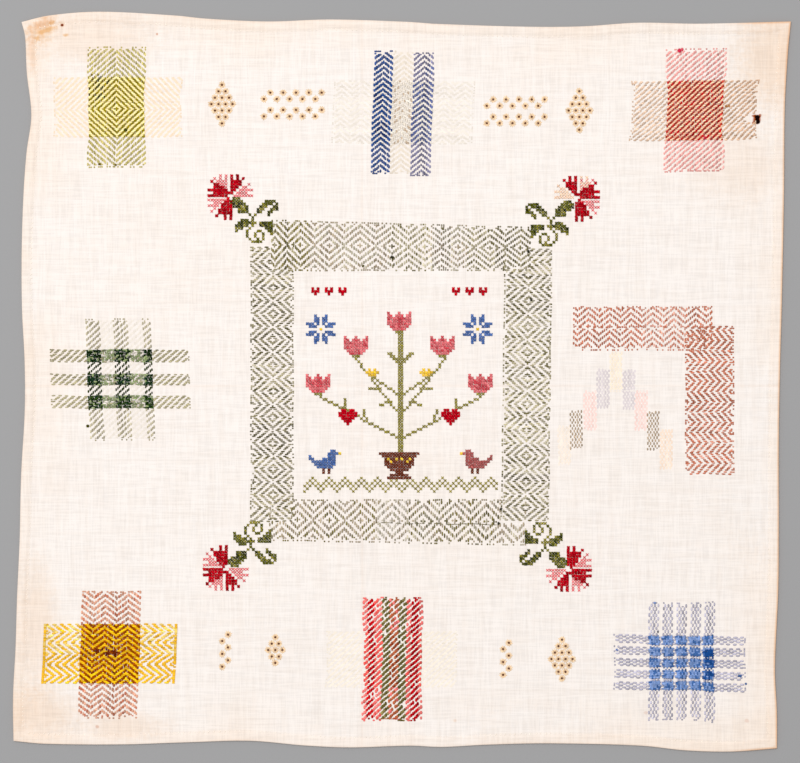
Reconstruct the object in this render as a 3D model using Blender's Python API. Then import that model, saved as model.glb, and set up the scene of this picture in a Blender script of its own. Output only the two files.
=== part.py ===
"""A linen darning sampler: one square of linen with a turned hem, lying flat, worked side up.

Metres, +Z up. The origin is under the middle of the cloth, on the surface that it lies on,
and +Y points to the top edge of the cloth. Tables are in millimetres.
"""

import math

import bmesh
import bpy
from mathutils import Matrix, Vector

MM = 0.001

# The cloth
CLOTH_NAME = "linen_cloth"
GROUND_THICK = 1.1 * MM  # plain linen between the stitches
WAVE_RISE = 0.06 * MM  # slow unevenness of the worked side
HEM_WIDTH = 5.0 * MM
HEM_RISE = 0.7 * MM  # the turned layers of the hem
HEM_ROUND = 0.3 * MM
GRID_PITCH = 10.5 * MM

# The faint creases where the cloth was once folded in four
CREASE_HALF = 2.5 * MM
CREASE_DEPTH = 0.2 * MM
CREASE_X = -20.6 * MM
CREASE_Y = -2.2 * MM

# Stitching stands this far above the linen
UPRIGHT_RISE = 0.36 * MM
LEVEL_RISE = 0.28 * MM
CROSSING_RISE = 0.6 * MM
CROSS_STITCH_RISE = 0.4 * MM
RELIEF_DEEP = 0.95 * MM  # from the top of a raised shape to its foot inside the cloth

# Corners of the cloth, from its middle
CORNERS = {
    "top_left": (-195.7, 184.9),
    "top_right": (199.9, 185.2),
    "bottom_left": (-199.8, -184.7),
    "bottom_right": (192.7, -188.5),
}

# How each edge wanders: share of the way along it, and millimetres outside the straight line
# between its corners. Across edges run left to right, and side edges bottom to top.
EDGE_BOWS = {
    "top": (
        (0.00, 0.0), (0.035, 3.3), (0.10, 5.3), (0.20, 3.3), (0.24, 1.7), (0.32, 0.2), (0.40, 1.2),
        (0.50, 0.0), (0.54, -1.1), (0.66, -2.6), (0.73, -2.4), (0.80, -0.6), (0.88, -1.1), (1.00, 0.0),
    ),
    "bottom": (
        (0.00, 0.0), (0.04, 1.3), (0.14, 1.3), (0.22, 0.0), (0.31, -1.2), (0.38, 0.9), (0.44, 1.7),
        (0.52, 0.5), (0.56, 1.0), (0.62, -0.4), (0.70, -1.4), (0.82, -0.7), (0.88, 1.5), (0.94, 1.9),
        (1.00, 0.0),
    ),
    "left": (
        (0.00, 0.0), (0.06, 0.5), (0.13, -0.5), (0.20, -1.0), (0.28, -2.0), (0.37, -2.4), (0.46, -3.9),
        (0.53, -3.5), (0.60, -1.9), (0.68, -1.4), (0.76, -2.0), (0.82, -3.4), (0.87, -5.6), (0.93, -3.0),
        (0.98, -1.9), (1.00, 0.0),
    ),
    "right": (
        (0.00, 0.0), (0.05, -0.4), (0.11, -1.8), (0.22, -0.9), (0.31, -1.3), (0.42, -2.1), (0.52, -2.2),
        (0.62, -1.9), (0.77, -1.9), (0.88, -2.3), (0.96, -1.2), (1.00, 0.0),
    ),
}

# Each darned sample is an upright strip crossed by a level one: middle, size and lean of each
DARNED_SAMPLES = (
    # name, upright x, y, wide, tall, lean in degrees, level x, y, wide, tall, lean in degrees
    ("top_left", -146.3, 141.4, 29.6, 62.9, 0.0, -146.1, 140.4, 68.0, 29.9, 0.4),
    ("top_middle", -0.3, 138.5, 32.2, 62.5, -1.7, 0.8, 138.5, 70.7, 32.4, -0.4),
    ("top_right", 150.6, 139.4, 32.4, 63.2, -1.3, 150.3, 139.4, 66.3, 30.6, 0.8),
    ("middle_left", -145.0, 1.1, 34.6, 61.0, 2.6, -145.2, 1.1, 70.0, 30.3, 0.0),
    ("bottom_left", -149.9, -140.4, 30.8, 63.7, -2.0, -150.4, -139.9, 69.4, 30.8, 0.0),
    ("bottom_middle", -5.0, -142.8, 31.4, 63.2, 0.0, -5.5, -142.8, 68.8, 28.3, 0.0),
    ("bottom_right", 143.2, -143.8, 33.1, 63.2, 0.0, 142.3, -143.0, 69.9, 29.8, 0.0),
)
CROSSING_INSET = 0.4

# The corner sample at the middle right, and the steps of small blocks inside it
CORNER_SAMPLE = (
    # name, x, y, wide, tall
    ("corner_level", 124.0, 27.4, 71.9, 21.2),
    ("corner_upright", 158.3, -9.6, 23.6, 76.4),
)
STEP_BLOCK = {"wide": 6.3, "tall": 19.5, "gap": 0.6, "top_x": 109.9, "top_y": 5.9, "drop": 10.2}
STEP_ROWS = 4

# The darned square band round the centre
BAND_OUTER = {"left": -77.9, "right": 76.4, "top": 81.3, "bottom": -82.6}
BAND_WIDE = 22.0
BAND_NOTCH = 10.5  # the outer corners are left open for the scrolls

# The corner sprigs: a round flower of eight petals with three points each, and a scroll
SPRIGS = (
    # name, flower x, y, scroll x, y
    ("top_left", -88.9, 95.1, -76.2, 74.9),
    ("top_right", 91.4, 94.5, 74.1, 73.6),
    ("bottom_left", -91.6, -95.2, -76.2, -75.4),
    ("bottom_right", 87.0, -95.4, 73.4, -74.9),
)
PETALS = 8
PETAL_POINTS = 3
PETAL_REACH = 12.4
PETAL_NOTCH = 2.2  # how far the cuts between a petal's points go in
PETAL_WAIST = 7.0  # where two petals part
SCROLL_RADIUS = 5.0
SCROLL_SEGMENTS = 16

LINEN_COLOUR = (0.93, 0.87, 0.78, 1.0)
LINEN_ROUGHNESS = 0.9


def clear_scene():
    for obj in list(bpy.data.objects):
        bpy.data.objects.remove(obj, do_unlink=True)


def new_collection(name):
    collection = bpy.data.collections.new(name)
    bpy.context.scene.collection.children.link(collection)
    return collection


def new_object(name, bm, collection):
    mesh = bpy.data.meshes.new(name)
    bm.to_mesh(mesh)
    bm.free()
    obj = bpy.data.objects.new(name, mesh)
    collection.objects.link(obj)
    return obj


def linen_material():
    material = bpy.data.materials.new("linen")
    material.use_nodes = True
    shader = material.node_tree.nodes["Principled BSDF"]
    shader.inputs["Base Color"].default_value = LINEN_COLOUR
    shader.inputs["Roughness"].default_value = LINEN_ROUGHNESS
    shader.inputs["Metallic"].default_value = 0.0
    return material


def smooth_value(rows, at):
    """The value at a share of an edge, on one smooth curve through the table's rows."""
    last = len(rows) - 1
    start = max(i for i in range(last) if rows[i][0] <= at or i == 0)
    (s0, b0), (s1, b1) = rows[start], rows[start + 1]

    def slope(i):
        low, high = rows[max(i - 1, 0)], rows[min(i + 1, last)]
        return (high[1] - low[1]) / (high[0] - low[0])

    span = s1 - s0
    t = (at - s0) / span
    from_start = (1 + 2 * t) * (1 - t) ** 2 * b0 + t * (1 - t) ** 2 * span * slope(start)
    from_end = t * t * (3 - 2 * t) * b1 + t * t * (t - 1) * span * slope(start + 1)
    return from_start + from_end


def edge_point(edge, share):
    ends = {
        "top": ("top_left", "top_right", Vector((0, 1))),
        "bottom": ("bottom_left", "bottom_right", Vector((0, -1))),
        "left": ("bottom_left", "top_left", Vector((-1, 0))),
        "right": ("bottom_right", "top_right", Vector((1, 0))),
    }
    start, end, outward = ends[edge]
    straight = Vector(CORNERS[start]).lerp(Vector(CORNERS[end]), share)
    return (straight + outward * smooth_value(EDGE_BOWS[edge], share)) * MM


def on_cloth(u, v):
    """Where the threads u of the way across and v of the way up cross, between the four edges."""
    across = edge_point("bottom", u).lerp(edge_point("top", u), v)
    upward = edge_point("left", v).lerp(edge_point("right", v), u)
    low = Vector(CORNERS["bottom_left"]).lerp(Vector(CORNERS["bottom_right"]), u)
    high = Vector(CORNERS["top_left"]).lerp(Vector(CORNERS["top_right"]), u)
    return across + upward - low.lerp(high, v) * MM


def ground_height(x, y):
    wave = math.sin(x / (31 * MM)) * math.cos(y / (43 * MM)) + math.sin((x + 2 * y) / (57 * MM))
    height = GROUND_THICK + WAVE_RISE * wave / 2
    for offset in (x - CREASE_X, y - CREASE_Y):
        depth = max(0.0, 1 - abs(offset) / CREASE_HALF)
        height -= CREASE_DEPTH * depth
    return height


def grid_shares(length, crease):
    """Shares of a side where grid lines run: the hem's edges, the crease and an even rest."""
    half = length / 2
    fixed = [-half, -half + HEM_WIDTH, crease - CREASE_HALF, crease, crease + CREASE_HALF]
    fixed += [half - HEM_WIDTH, half]
    lines = [fixed[0]]
    for low, high in zip(fixed, fixed[1:]):
        steps = max(1, round((high - low) / GRID_PITCH))
        lines += [low + (high - low) * step / steps for step in range(1, steps + 1)]
    return [(line + half) / length for line in lines]


def raise_faces(bm, faces, rise):
    """Lifts these faces on walls of their own."""
    made = bmesh.ops.extrude_face_region(bm, geom=faces)["geom"]
    bmesh.ops.delete(bm, geom=[face for face in faces if face.is_valid], context="FACES")
    tops = [item for item in made if isinstance(item, bmesh.types.BMVert)]
    bmesh.ops.translate(bm, verts=tops, vec=(0, 0, rise))


def round_hem(bm):
    """Rounds the hem's folded edges, inner and outer."""
    level = GROUND_THICK + HEM_RISE / 2
    folded = [
        edge
        for edge in bm.edges
        if min(vert.co.z for vert in edge.verts) > level
        and abs(edge.calc_face_angle_signed(0)) > math.radians(60)
    ]
    bmesh.ops.bevel(
        bm, geom=folded, offset=HEM_ROUND, segments=2, profile=0.5, affect="EDGES", material=-1
    )


def close_back(bm):
    """Drops the outline to the surface that the cloth lies on, and closes it with a flat back."""
    outline = [edge for edge in bm.edges if edge.is_boundary]
    made = bmesh.ops.extrude_edge_only(bm, edges=outline)["geom"]
    for vert in (item for item in made if isinstance(item, bmesh.types.BMVert)):
        vert.co.z = 0
    back = [item for item in made if isinstance(item, bmesh.types.BMEdge)]
    bmesh.ops.contextual_create(bm, geom=back)
    bmesh.ops.recalc_face_normals(bm, faces=bm.faces)


def cloth_sheet(collection):
    """The worked side as a grid in the cloth's outline, its hem raised, closed by a flat back."""
    width = (CORNERS["top_right"][0] - CORNERS["top_left"][0]) * MM
    length = (CORNERS["top_left"][1] - CORNERS["bottom_left"][1]) * MM
    across, upward = grid_shares(width, CREASE_X), grid_shares(length, CREASE_Y)
    columns, rows = len(across) - 1, len(upward) - 1
    bm = bmesh.new()
    bmesh.ops.create_grid(bm, x_segments=columns, y_segments=rows, size=1)
    inner_column, inner_row = 1 - 1.5 / columns, 1 - 1.5 / rows
    hem = []
    for face in bm.faces:
        middle = face.calc_center_median()
        if abs(middle.x) > inner_column or abs(middle.y) > inner_row:
            hem.append(face)
    for vert in bm.verts:
        u = across[round((vert.co.x + 1) / 2 * columns)]
        v = upward[round((vert.co.y + 1) / 2 * rows)]
        x, y = on_cloth(u, v)
        vert.co = (x, y, ground_height(x, y))
    raise_faces(bm, hem, HEM_RISE)
    round_hem(bm)
    close_back(bm)
    return new_object(CLOTH_NAME, bm, collection)


def relief(name, bm, collection):
    """A shape that is only joined to the cloth: a guide, which isn't a piece itself."""
    obj = new_object(name, bm, collection)
    obj.display_type = "WIRE"
    obj.hide_render = True
    return obj


def relief_strip(name, x, y, wide, tall, lean, rise, collection):
    place = Matrix.Translation((x * MM, y * MM, GROUND_THICK + rise - RELIEF_DEEP / 2))
    place @= Matrix.Rotation(math.radians(lean), 4, "Z")
    place @= Matrix.Diagonal((wide * MM, tall * MM, RELIEF_DEEP, 1))
    bm = bmesh.new()
    bmesh.ops.create_cube(bm, size=1, matrix=place)
    return relief(name, bm, collection)


def relief_round(name, x, y, radii, collection):
    """A flat shape round a middle, whose outline has these radii in equal turns."""
    bm = bmesh.new()
    bmesh.ops.create_circle(bm, cap_ends=True, segments=len(radii), radius=1)
    for vert in bm.verts:
        angle = math.atan2(vert.co.y, vert.co.x) % math.tau
        radius = radii[round(angle / math.tau * len(radii)) % len(radii)]
        foot = GROUND_THICK + CROSS_STITCH_RISE - RELIEF_DEEP
        vert.co = vert.co * radius * MM + Vector((x * MM, y * MM, foot))
    made = bmesh.ops.extrude_face_region(bm, geom=bm.faces[:])["geom"]
    tops = [item for item in made if isinstance(item, bmesh.types.BMVert)]
    bmesh.ops.translate(bm, verts=tops, vec=(0, 0, RELIEF_DEEP))
    bmesh.ops.recalc_face_normals(bm, faces=bm.faces)
    return relief(name, bm, collection)


def darned_samples(collection):
    inset = 2 * CROSSING_INSET
    for name, ux, uy, u_wide, u_tall, u_lean, lx, ly, l_wide, l_tall, l_lean in DARNED_SAMPLES:
        relief_strip(f"{name}_upright", ux, uy, u_wide, u_tall, u_lean, UPRIGHT_RISE, collection)
        relief_strip(f"{name}_level", lx, ly, l_wide, l_tall, l_lean, LEVEL_RISE, collection)
        wide, tall = u_wide - inset, l_tall - inset
        relief_strip(f"{name}_crossing", ux, ly, wide, tall, 0, CROSSING_RISE, collection)


def corner_sample(collection):
    for name, x, y, wide, tall in CORNER_SAMPLE:
        rise = LEVEL_RISE if wide > tall else UPRIGHT_RISE
        relief_strip(name, x, y, wide, tall, 0, rise, collection)
    across = STEP_BLOCK["wide"] + STEP_BLOCK["gap"]
    for row in range(STEP_ROWS):
        y = STEP_BLOCK["top_y"] - row * STEP_BLOCK["drop"]
        for side in (-1, 1) if row else (1,):
            name = f"step_{row}_{'left' if side < 0 else 'right'}"
            x = STEP_BLOCK["top_x"] + side * row * across
            relief_strip(
                name, x, y, STEP_BLOCK["wide"], STEP_BLOCK["tall"], 0, UPRIGHT_RISE, collection
            )


def band(collection):
    """Four bars round the centre, which leave a notch at each outer corner."""
    left, right = BAND_OUTER["left"], BAND_OUTER["right"]
    top, bottom = BAND_OUTER["top"], BAND_OUTER["bottom"]
    x, y = (left + right) / 2, (top + bottom) / 2
    level = right - left - 2 * BAND_NOTCH
    upright = top - bottom - 2 * BAND_NOTCH
    half = BAND_WIDE / 2
    relief_strip("band_top", x, top - half, level, BAND_WIDE, 0, LEVEL_RISE, collection)
    relief_strip("band_bottom", x, bottom + half, level, BAND_WIDE, 0, LEVEL_RISE, collection)
    relief_strip("band_left", left + half, y, BAND_WIDE, upright, 0, UPRIGHT_RISE, collection)
    relief_strip("band_right", right - half, y, BAND_WIDE, upright, 0, UPRIGHT_RISE, collection)


def sprigs(collection):
    points = [PETAL_REACH, PETAL_REACH - PETAL_NOTCH] * PETAL_POINTS
    petal = [PETAL_WAIST] + points[:-1]
    for name, flower_x, flower_y, scroll_x, scroll_y in SPRIGS:
        relief_round(f"{name}_flower", flower_x, flower_y, petal * PETALS, collection)
        scroll = [SCROLL_RADIUS] * SCROLL_SEGMENTS
        relief_round(f"{name}_scroll", scroll_x, scroll_y, scroll, collection)


def join_relief(cloth, collection):
    union = cloth.modifiers.new("stitching", "BOOLEAN")
    union.operation = "UNION"
    union.operand_type = "COLLECTION"
    union.collection = collection
    union.solver = "EXACT"


def main():
    clear_scene()
    sampler = new_collection("linen_sampler")
    stitching = new_collection("raised_stitching")
    cloth = cloth_sheet(sampler)
    cloth.data.materials.append(linen_material())
    darned_samples(stitching)
    corner_sample(stitching)
    band(stitching)
    sprigs(stitching)
    join_relief(cloth, stitching)


main()
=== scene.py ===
import math
import random

import bmesh
import bpy
import numpy as np
from mathutils import Matrix, Vector


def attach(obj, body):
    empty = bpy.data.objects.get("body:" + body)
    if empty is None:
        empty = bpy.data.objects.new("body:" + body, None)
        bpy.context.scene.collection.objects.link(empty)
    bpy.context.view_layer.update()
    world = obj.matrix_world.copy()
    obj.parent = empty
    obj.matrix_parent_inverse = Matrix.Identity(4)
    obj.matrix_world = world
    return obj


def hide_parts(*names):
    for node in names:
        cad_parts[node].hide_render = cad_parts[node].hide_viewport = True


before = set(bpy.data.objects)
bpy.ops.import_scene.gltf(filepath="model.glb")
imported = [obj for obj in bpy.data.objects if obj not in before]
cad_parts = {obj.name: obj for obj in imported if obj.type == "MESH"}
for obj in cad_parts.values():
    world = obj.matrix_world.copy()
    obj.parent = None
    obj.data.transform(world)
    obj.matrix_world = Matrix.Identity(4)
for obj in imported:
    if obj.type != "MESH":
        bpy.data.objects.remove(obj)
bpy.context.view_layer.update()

mm = 0.001

# Thread and linen colours as they look in daylight, red green blue out of 255
dyes = {
    "linen": (238, 231, 226),
    "oliveThread": (199, 186, 114), "oliveDeep": (157, 140, 6), "oliveDark": (112, 96, 8),
    "inkOlive": (72, 72, 10), "mustardOlive": (255, 238, 176), "fadedYellow": (238, 217, 192),
    "navy": (78, 96, 146), "navyDeep": (48, 82, 146), "navyInk": (36, 60, 118),
    "slateViolet": (134, 132, 164), "slateBlue": (94, 106, 158), "ecru": (246, 238, 228),
    "ecruPale": (228, 220, 210), "stoneGrey": (228, 218, 204), "stonePale": (220, 209, 195),
    "fleckBrown": (200, 178, 154), "cream": (254, 248, 238),
    "rose": (250, 176, 170), "darkRed": (182, 58, 42), "beigeRed": (246, 190, 160),
    "beigeBrown": (206, 179, 157), "beigeDeep": (194, 161, 135), "rustBrown": (186, 126, 64),
    "greenGrey": (180, 172, 144), "greenLevel": (176, 168, 134), "greenInner": (54, 64, 26),
    "greenFine": (132, 140, 104), "forest": (18, 40, 6), "teal": (28, 58, 36),
    "mossGreen": (46, 72, 20), "greenFleck": (148, 164, 112),
    "redBrown": (202, 122, 95), "redBrownPale": (220, 158, 138), "cornerRed": (202, 114, 86),
    "creamPale": (240, 226, 207), "peachPale": (238, 217, 199),
    "peachFaint": (240, 227, 214), "blueGrey": (214, 205, 207), "pinkPale": (241, 211, 204),
    "darkOliveGrey": (178, 158, 134), "mauveBrown": (218, 162, 136), "darkBrown": (160, 70, 0),
    "wornBrown": (112, 40, 6), "yellow": (255, 198, 48), "yellowPale": (255, 220, 120),
    "yellowDeep": (255, 198, 24), "crimson": (206, 10, 22), "crimsonDark": (170, 2, 14),
    "pink": (246, 122, 118),
    "pinkDeep": (236, 90, 84), "leafGreen": (108, 98, 48), "leafGrey": (138, 126, 76),
    "terracotta": (190, 102, 64), "terracottaDark": (152, 66, 32),
    "lavender": (188, 185, 202), "lavenderLevel": (186, 183, 200), "blue": (120, 149, 202),
    "skyBlue": (134, 160, 210), "blueDeep": (66, 106, 168), "blueInk": (26, 76, 146),
    "bandGreen": (166, 158, 126), "bandGrey": (182, 175, 152), "bandDark": (112, 106, 70),
    "bandBrown": (166, 152, 128), "bandOlive": (128, 118, 66), "bandFaint": (206, 198, 182),
    # holeShadeBrown is painted shade round the eyelet holes, partly the thread's browner colour there
    "inkBlack": (46, 46, 30), "tan": (242, 210, 170), "holeShadeBrown": (120, 64, 22),
    "flowerRed": (196, 2, 26), "flowerDark": (160, 0, 14), "flowerPink": (240, 98, 106),
    "flowerFaded": (248, 204, 168), "leafOlive": (90, 92, 20), "leafDark": (46, 50, 8),
    "leafYellow": (140, 132, 30), "motifBlue": (74, 108, 172), "motifYellow": (244, 200, 50),
    "motifBrown": (112, 50, 28), "motifMauve": (176, 88, 86), "knotPink": (226, 50, 84),
    "hemThread": (250, 240, 228), "motifPink": (236, 118, 124), "motifRose": (206, 66, 78),
    "creamArm": (238, 228, 214), "stemOlive": (142, 132, 50), "baseOlive": (164, 152, 66),
}


def linear(dye, shade=1.0):
    parts = dyes[dye] if isinstance(dye, str) else dye
    made = []
    for part in parts:
        part = min(1.0, part / 255 * shade)
        made.append(part / 12.92 if part <= 0.04045 else ((part + 0.055) / 1.055) ** 2.4)
    return made


# Shader maths: a value that grows Math nodes when it is used in an expression
class Value:
    def __init__(self, finish, socket):
        self.finish, self.socket = finish, socket

    def __add__(self, other):
        return self.finish.math("ADD", self, other)

    def __sub__(self, other):
        return self.finish.math("SUBTRACT", self, other)

    def __rsub__(self, other):
        return self.finish.math("SUBTRACT", other, self)

    def __mul__(self, other):
        return self.finish.math("MULTIPLY", self, other)

    def __truediv__(self, other):
        return self.finish.math("DIVIDE", self, other)

    def __abs__(self):
        return self.finish.math("ABSOLUTE", self)

    __radd__ = __add__
    __rmul__ = __mul__


class Finish:
    def __init__(self, name, **constants):
        self.material = bpy.data.materials.new(name)
        self.material.use_nodes = True
        self.tree = self.material.node_tree
        self.shader = self.tree.nodes["Principled BSDF"]
        for socket, constant in constants.items():
            self.shader.inputs[socket.replace("_", " ")].default_value = constant

    def put(self, socket, given):
        if isinstance(given, Value):
            self.tree.links.new(given.socket, socket)
        else:
            socket.default_value = given

    def node(self, kind, settings=None, sockets=None, out=0):
        made = self.tree.nodes.new(kind)
        for name, setting in (settings or {}).items():
            setattr(made, name, setting)
        for name, given in (sockets or {}).items():
            self.put(made.inputs[name], given)
        return Value(self, made.outputs[out])

    def math(self, operation, *given):
        return self.node("ShaderNodeMath", {"operation": operation}, dict(enumerate(given)))

    def sine(self, angle):
        return self.math("SINE", angle)

    # 0 where given is at low, 1 where it is at high, held between
    def share(self, given, low, high):
        return self.node(
            "ShaderNodeMapRange",
            {"interpolation_type": "SMOOTHSTEP"},
            {"Value": given, "From Min": low, "From Max": high},
        )

    def blend(self, factor, one, other, how="MIX"):
        settings = {"data_type": "RGBA", "blend_type": how}
        return self.node("ShaderNodeMix", settings, {0: factor, 6: one, 7: other}, 2)

    def noise(self, vector, scale, detail=2.0):
        sockets = {"Vector": vector, "Scale": scale, "Detail": detail, "Roughness": 0.55}
        return self.node("ShaderNodeTexNoise", None, sockets)

    def vector(self, x, y, z=0.0):
        return self.node("ShaderNodeCombineXYZ", None, {"X": x, "Y": y, "Z": z})

    # the place in the scene in metres, and its x and y
    def place(self):
        where = self.node("ShaderNodeTexCoord", out=3)
        split = self.node("ShaderNodeSeparateXYZ", None, {"Vector": where})
        outs = split.socket.node.outputs
        return where, Value(self, outs[0]), Value(self, outs[1])

    def bump(self, height, strength, distance):
        sockets = {"Height": height, "Strength": strength, "Distance": distance}
        self.put(self.shader.inputs["Normal"], self.node("ShaderNodeBump", None, sockets))


def meshFrom(bm, name):
    mesh = bpy.data.meshes.new(name)
    bm.to_mesh(mesh)
    bm.free()
    return mesh


def putInScene(name, data):
    made = bpy.data.objects.new(name, data)
    bpy.context.scene.collection.objects.link(made)
    return made


def newPiece(name, mesh, material):
    piece = putInScene(name, mesh)
    mesh.materials.clear()
    mesh.materials.append(material)
    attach(piece, "root")
    return piece


# The camera straight above, the light and the floor
photo = {"wide": 411.3, "lens": 100.0, "sensor": 36.0, "middle": (-1.1, 0.1), "clothTop": 1.1}
studio = {
    "floor": (0.30, 0.30, 0.305), "floorHalf": 3, "mottle": 1.03, "mottleScale": 3.0,
    "sky": (1.0, 0.99, 0.98), "skyStrength": 0.64,
    "keyAt": (-0.5, 0.65, 2.3), "keySize": 1.0, "keyPower": 37.2,
}


def makeStudio():
    camera = bpy.data.cameras.new("camera")
    camera.lens, camera.sensor_width = photo["lens"], photo["sensor"]
    away = photo["wide"] * photo["lens"] / photo["sensor"]
    eye = putInScene("camera", camera)
    eye.location = Vector((*photo["middle"], photo["clothTop"] + away)) * mm
    bpy.context.scene.camera = eye

    bm = bmesh.new()
    bmesh.ops.create_grid(bm, x_segments=1, y_segments=1, size=studio["floorHalf"])
    floor = putInScene("floor", meshFrom(bm, "floor"))
    paint = Finish("floor_paint", Roughness=0.9)
    mottle = paint.noise(paint.place()[0], studio["mottleScale"])
    pale = [part * studio["mottle"] for part in studio["floor"]] + [1]
    paint.put(paint.shader.inputs["Base Color"], paint.blend(mottle, [*studio["floor"], 1], pale))
    floor.data.materials.append(paint.material)

    world = bpy.data.worlds.new("soft_sky")
    bpy.context.scene.world = world
    world.use_nodes = True
    sky = world.node_tree.nodes["Background"]
    sky.inputs["Color"].default_value = (*studio["sky"], 1)
    sky.inputs["Strength"].default_value = studio["skyStrength"]

    lamp = bpy.data.lights.new("key", "AREA")
    lamp.energy, lamp.size = studio["keyPower"], studio["keySize"]
    key = putInScene("key", lamp)
    key.location = studio["keyAt"]
    key.rotation_euler = (-Vector(studio["keyAt"])).to_track_quat("-Z", "Y").to_euler()
    look = bpy.context.scene.view_settings
    look.view_transform, look.look, look.exposure, look.gamma = "Standard", "None", 0.0, 1.0
    print("studio ready")


# The linen: one square, hemmed, with the outline that the CAD solid has
cloth = {
    "thick": 1.1, "waveRise": 0.06, "waves": (31, 43, 57), "pitch": 2.5,
    "hemWide": 5.2, "hemRise": 0.62, "hemRound": 0.5, "hemLines": (0.0, 1.0, 2.2, 3.3, 4.0, 4.6, 5.4),
    "hemWander": ((0.35, 13), (0.2, 4.7)), "hemSlope": 1.5,
    "creaseX": -20.6, "creaseY": -2.2, "creaseHalf": 2.5, "creaseDepth": 0.2,
    "flat": (0.408, 0.388),  # metres, with what is turned in for the hem
    "untoned": 40.0, "plainHalf": (150, 140),  # no toning this far in, nor within this middle
    # the baked picture: half the cloth's reach, then scale and corner of the worked side and the back
    "bakeHalf": 202, "bakeFront": (0.75, 0.0), "bakeBack": (0.24, 0.755),
}
corners = {
    "topLeft": (-195.7, 184.9), "topRight": (199.9, 185.2),
    "bottomLeft": (-199.8, -184.7), "bottomRight": (192.7, -188.5),
}
clothWide = corners["topRight"][0] - corners["topLeft"][0]
clothTall = corners["topLeft"][1] - corners["bottomLeft"][1]
# How each edge wanders: share of the way along it, and millimetres outside the straight line
edgeBows = {
    "top": (
        (0.00, 0.0), (0.035, 3.3), (0.10, 5.3), (0.20, 3.3), (0.24, 1.7), (0.32, 0.2), (0.40, 1.2),
        (0.50, 0.0), (0.54, -1.1), (0.66, -2.6), (0.73, -2.4), (0.80, -0.6), (0.88, -1.1), (1.00, 0.0),
    ),
    "bottom": (
        (0.00, 0.0), (0.04, 1.3), (0.14, 1.3), (0.22, 0.0), (0.31, -1.2), (0.38, 0.9), (0.44, 1.7),
        (0.52, 0.5), (0.56, 1.0), (0.62, -0.4), (0.70, -1.4), (0.82, -0.7), (0.88, 1.5), (0.94, 1.9),
        (1.00, 0.0),
    ),
    "left": (
        (0.00, 0.0), (0.06, 0.5), (0.13, -0.5), (0.20, -1.0), (0.28, -2.0), (0.37, -2.4), (0.46, -3.9),
        (0.53, -3.5), (0.60, -1.9), (0.68, -1.4), (0.76, -2.0), (0.82, -3.4), (0.87, -5.6), (0.93, -3.0),
        (0.98, -1.9), (1.00, 0.0),
    ),
    "right": (
        (0.00, 0.0), (0.05, -0.4), (0.11, -1.8), (0.22, -0.9), (0.31, -1.3), (0.42, -2.1), (0.52, -2.2),
        (0.62, -1.9), (0.77, -1.9), (0.88, -2.3), (0.96, -1.2), (1.00, 0.0),
    ),
}


def bowAt(rows, at):
    last = len(rows) - 1
    start = max(i for i in range(last) if rows[i][0] <= at or i == 0)
    (s0, b0), (s1, b1) = rows[start], rows[start + 1]

    def slope(i):
        low, high = rows[max(i - 1, 0)], rows[min(i + 1, last)]
        return (high[1] - low[1]) / (high[0] - low[0])

    span = s1 - s0
    t = (at - s0) / span
    fromStart = (1 + 2 * t) * (1 - t) ** 2 * b0 + t * (1 - t) ** 2 * span * slope(start)
    fromEnd = t * t * (3 - 2 * t) * b1 + t * t * (t - 1) * span * slope(start + 1)
    return fromStart + fromEnd


edges = {
    # from this corner, to this corner, the way out
    "top": ("topLeft", "topRight", (0, 1)), "bottom": ("bottomLeft", "bottomRight", (0, -1)),
    "left": ("bottomLeft", "topLeft", (-1, 0)), "right": ("bottomRight", "topRight", (1, 0)),
}


def edgePoint(edge, share):
    start, end, outward = edges[edge]
    straight = Vector(corners[start]).lerp(Vector(corners[end]), share)
    return straight + Vector(outward) * bowAt(edgeBows[edge], share)


# Millimetres in from the nearest edge of the cloth
def inwardOf(x, y):
    near = []
    for edge, (start, end, outward) in edges.items():
        axis = 0 if outward[1] else 1
        low, high = corners[start][axis], corners[end][axis]
        share = ((x, y)[axis] - low) / (high - low)
        rim = edgePoint(edge, min(1.0, max(0.0, share)))
        near.append((rim.x - x) * outward[0] + (rim.y - y) * outward[1])
    return max(0.0, min(near))


# Where the threads u of the way across and v of the way up cross, in millimetres
def onCloth(u, v):
    across = edgePoint("bottom", u).lerp(edgePoint("top", u), v)
    upward = edgePoint("left", v).lerp(edgePoint("right", v), u)
    low = Vector(corners["bottomLeft"]).lerp(Vector(corners["bottomRight"]), u)
    high = Vector(corners["topLeft"]).lerp(Vector(corners["topRight"]), u)
    return across + upward - low.lerp(high, v)


def groundHeight(x, y):
    longX, longY, slanting = cloth["waves"]
    wave = math.sin(x / longX) * math.cos(y / longY) + math.sin((x + 2 * y) / slanting)
    height = cloth["thick"] + cloth["waveRise"] * wave / 2
    for offset in (x - cloth["creaseX"], y - cloth["creaseY"]):
        depth = max(0.0, 1 - abs(offset) / cloth["creaseHalf"])
        height -= cloth["creaseDepth"] * depth
    return height


# How far the turned hem lifts the linen, this far in from the edge of the cloth
def hemHeight(inward, along):
    foot = cloth["hemWide"]
    for wander, long in cloth["hemWander"]:
        foot += wander * math.sin(along / long)
    share = min(1.0, max(0.0, (foot - inward) / cloth["hemSlope"]))
    return cloth["hemRise"] * share * share * (3 - 2 * share)


def gridShares(length, crease):
    half = length / 2
    lines = [-half + inward for inward in cloth["hemLines"]]
    fixed = [lines[-1], crease - cloth["creaseHalf"], crease]
    fixed += [crease + cloth["creaseHalf"], -lines[-1]]
    for low, high in zip(fixed, fixed[1:]):
        steps = max(2, round((high - low) / cloth["pitch"]))
        lines += [low + (high - low) * step / steps for step in range(1, steps + 1)]
    lines += [half - inward for inward in cloth["hemLines"][-2::-1]]
    return [(line + half) / length for line in lines]


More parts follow.
